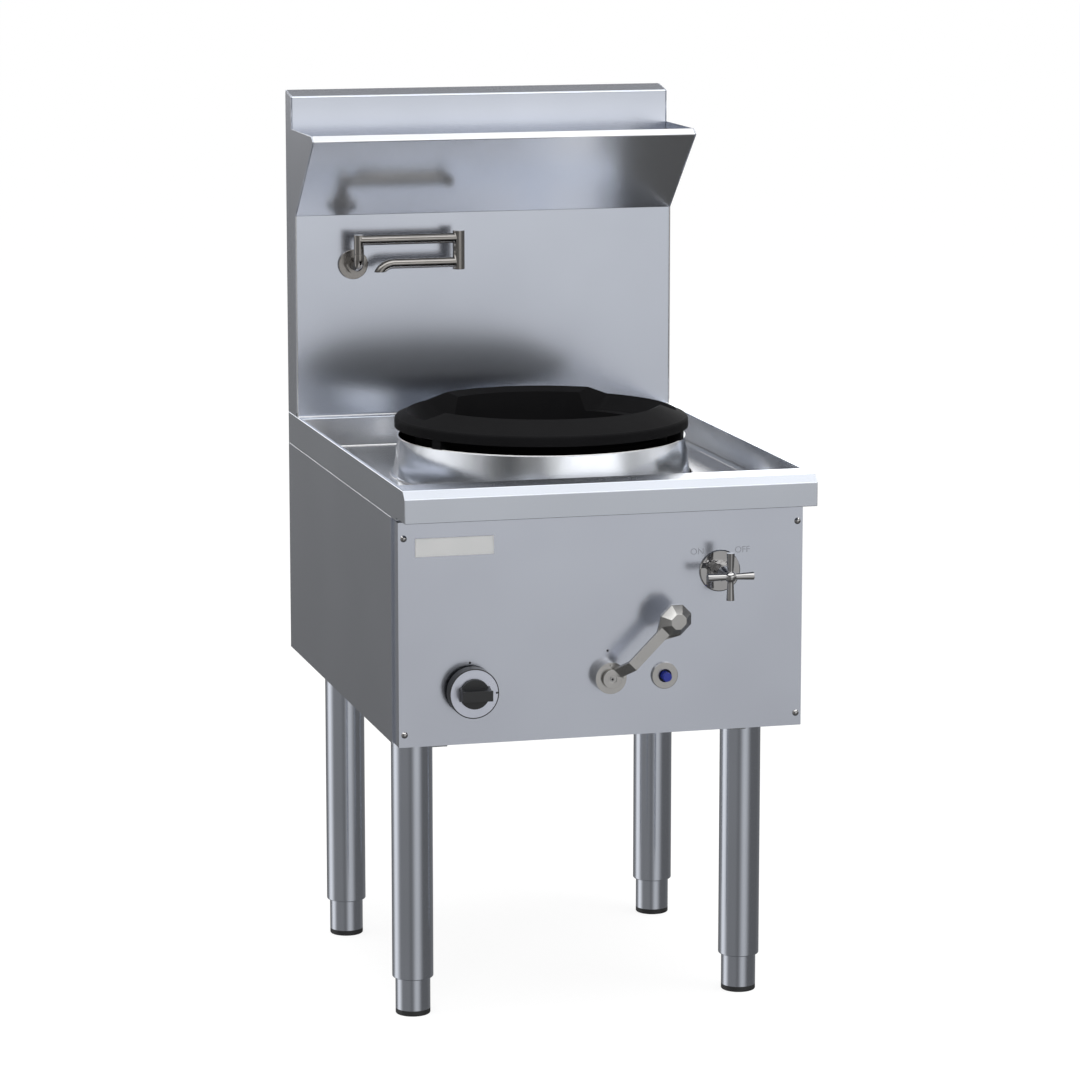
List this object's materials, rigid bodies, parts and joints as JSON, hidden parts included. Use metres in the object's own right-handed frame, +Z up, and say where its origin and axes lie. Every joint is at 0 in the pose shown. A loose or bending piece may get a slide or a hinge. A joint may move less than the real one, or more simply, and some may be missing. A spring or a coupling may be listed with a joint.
{
  "type": "wok range",
  "caption": "Floor-standing commercial wok range with splashback, sunken hob, chimney, lift-off cast wok ring, swing faucet, gas and water controls and adjustable feet.",
  "frame": {"origin": "floor, under the middle of the range's overall box", "axes": "+Z up, -Y towards the user at the control panel, +X to the user's right"},
  "size_m": [0.6, 0.81, 1.3],
  "materials": {
    "sheet_steel": "fine brushed",
    "galvanised": "dull zinc coat",
    "polished_steel": "polished",
    "heated_steel": "satin, heat dulled",
    "cast_iron": "matt black",
    "brass": "plain",
    "copper": "plain copper",
    "black_cable": "matt",
    "knob_black": "satin",
    "knob_silver": "satin",
    "satin_steel": "satin",
    "chrome": "polished",
    "button_blue": "gloss",
    "tube_steel": "polished tube",
    "foot_black": "matt"
  },
  "bodies": {
    "range": {"hob_top": "sheet_steel", "side_panel_left": "sheet_steel", "side_panel_right": "sheet_steel", "rear_panel": "galvanised", "base_frame": "galvanised", "front_panel": "sheet_steel", "panel_screws": "chrome", "badge_plate": "sheet_steel", "splash_panel": "sheet_steel", "splash_side_left": "sheet_steel", "splash_side_right": "sheet_steel", "splash_back": "galvanised", "splash_riser": "sheet_steel", "deflector": "sheet_steel", "chimney": "polished_steel", "firebox": "heated_steel", "burner_head": "cast_iron", "venturi": "cast_iron", "gas_manifold": "galvanised", "main_valve": "brass", "main_gas_pipe": "brass", "pilot_valve": "brass", "pilot_burner": "copper", "spark_electrode": "black_cable", "lever_collar": "satin_steel", "igniter_flange": "satin_steel", "igniter_body": "black_cable", "tap_flange": "chrome", "water_valve": "chrome", "water_pipes": "copper", "faucet_flange": "chrome", "faucet_nut": "chrome", "faucet_riser": "chrome", "drain_outlet": "polished_steel", "leg_sockets": "galvanised", "leg_bolts": "galvanised", "leg_front_left": "tube_steel", "leg_front_right": "tube_steel", "leg_rear_left": "tube_steel", "leg_rear_right": "tube_steel"},
    "ring": {"wok_ring": "cast_iron"},
    "spindle": {"knob_spindle": "brass"},
    "knob": {"knob_body": "knob_black", "knob_ring": "knob_silver"},
    "lever": {"lever_arm": "satin_steel", "lever_head": "satin_steel", "lever_screw": "chrome"},
    "button": {"igniter_button": "button_blue"},
    "tap": {"tap_cross": "chrome"},
    "arm": {"faucet_arm": "chrome"},
    "spout": {"faucet_spout": "chrome"},
    "strainer": {"drain_strainer": "polished_steel"},
    "foot_front_left": {"foot_front_left": "tube_steel", "cap_front_left": "foot_black"},
    "foot_front_right": {"foot_front_right": "tube_steel", "cap_front_right": "foot_black"},
    "foot_rear_left": {"foot_rear_left": "tube_steel", "cap_rear_left": "foot_black"},
    "foot_rear_right": {"foot_rear_right": "tube_steel", "cap_rear_right": "foot_black"}
  },
  "joints": [
    {"name": "wok_ring_lift", "type": "slide", "parent": "range", "child": "ring", "axis": [0, 0, 1], "range_m": [0, 0.12]},
    {"name": "strainer_lift", "type": "slide", "parent": "range", "child": "strainer", "axis": [0, 0, 1], "range_m": [0, 0.04]},
    {"name": "knob_push", "type": "slide", "parent": "range", "child": "spindle", "axis": [0, 1, 0], "range_m": [0, 0.006], "stiffness_N_per_m": 1500},
    {"name": "knob_turn", "type": "hinge", "parent": "spindle", "child": "knob", "pos_m": [-0.194, -0.339, 0.504], "axis": [0, -1, 0], "range_deg": [0, 180]},
    {"name": "lever_turn", "type": "hinge", "parent": "range", "child": "lever", "pos_m": [0.0075, -0.339, 0.514], "axis": [0, -1, 0], "range_deg": [-45, 45]},
    {"name": "igniter_push", "type": "slide", "parent": "range", "child": "button", "axis": [0, 1, 0], "range_m": [0, 0.005], "stiffness_N_per_m": 1200},
    {"name": "tap_turn", "type": "hinge", "parent": "range", "child": "tap", "pos_m": [0.173, -0.339, 0.6585], "axis": [0, -1, 0], "range_deg": [0, 90]},
    {"name": "faucet_arm_swing", "type": "hinge", "parent": "range", "child": "arm", "pos_m": [-0.21, 0.295, 1.066], "axis": [0, 0, 1], "range_deg": [-120, 0]},
    {"name": "faucet_spout_swing", "type": "hinge", "parent": "arm", "child": "spout", "pos_m": [-0.053, 0.295, 1.066], "axis": [0, 0, 1], "range_deg": [0, 180]},
    {"name": "foot_front_left_adjust", "type": "slide", "parent": "range", "child": "foot_front_left", "axis": [0, 0, 1], "range_m": [-0.025, 0.015]},
    {"name": "foot_front_right_adjust", "type": "slide", "parent": "range", "child": "foot_front_right", "axis": [0, 0, 1], "range_m": [-0.025, 0.015]},
    {"name": "foot_rear_left_adjust", "type": "slide", "parent": "range", "child": "foot_rear_left", "axis": [0, 0, 1], "range_m": [-0.025, 0.015]},
    {"name": "foot_rear_right_adjust", "type": "slide", "parent": "range", "child": "foot_rear_right", "axis": [0, 0, 1], "range_m": [-0.025, 0.015]}
  ]
}
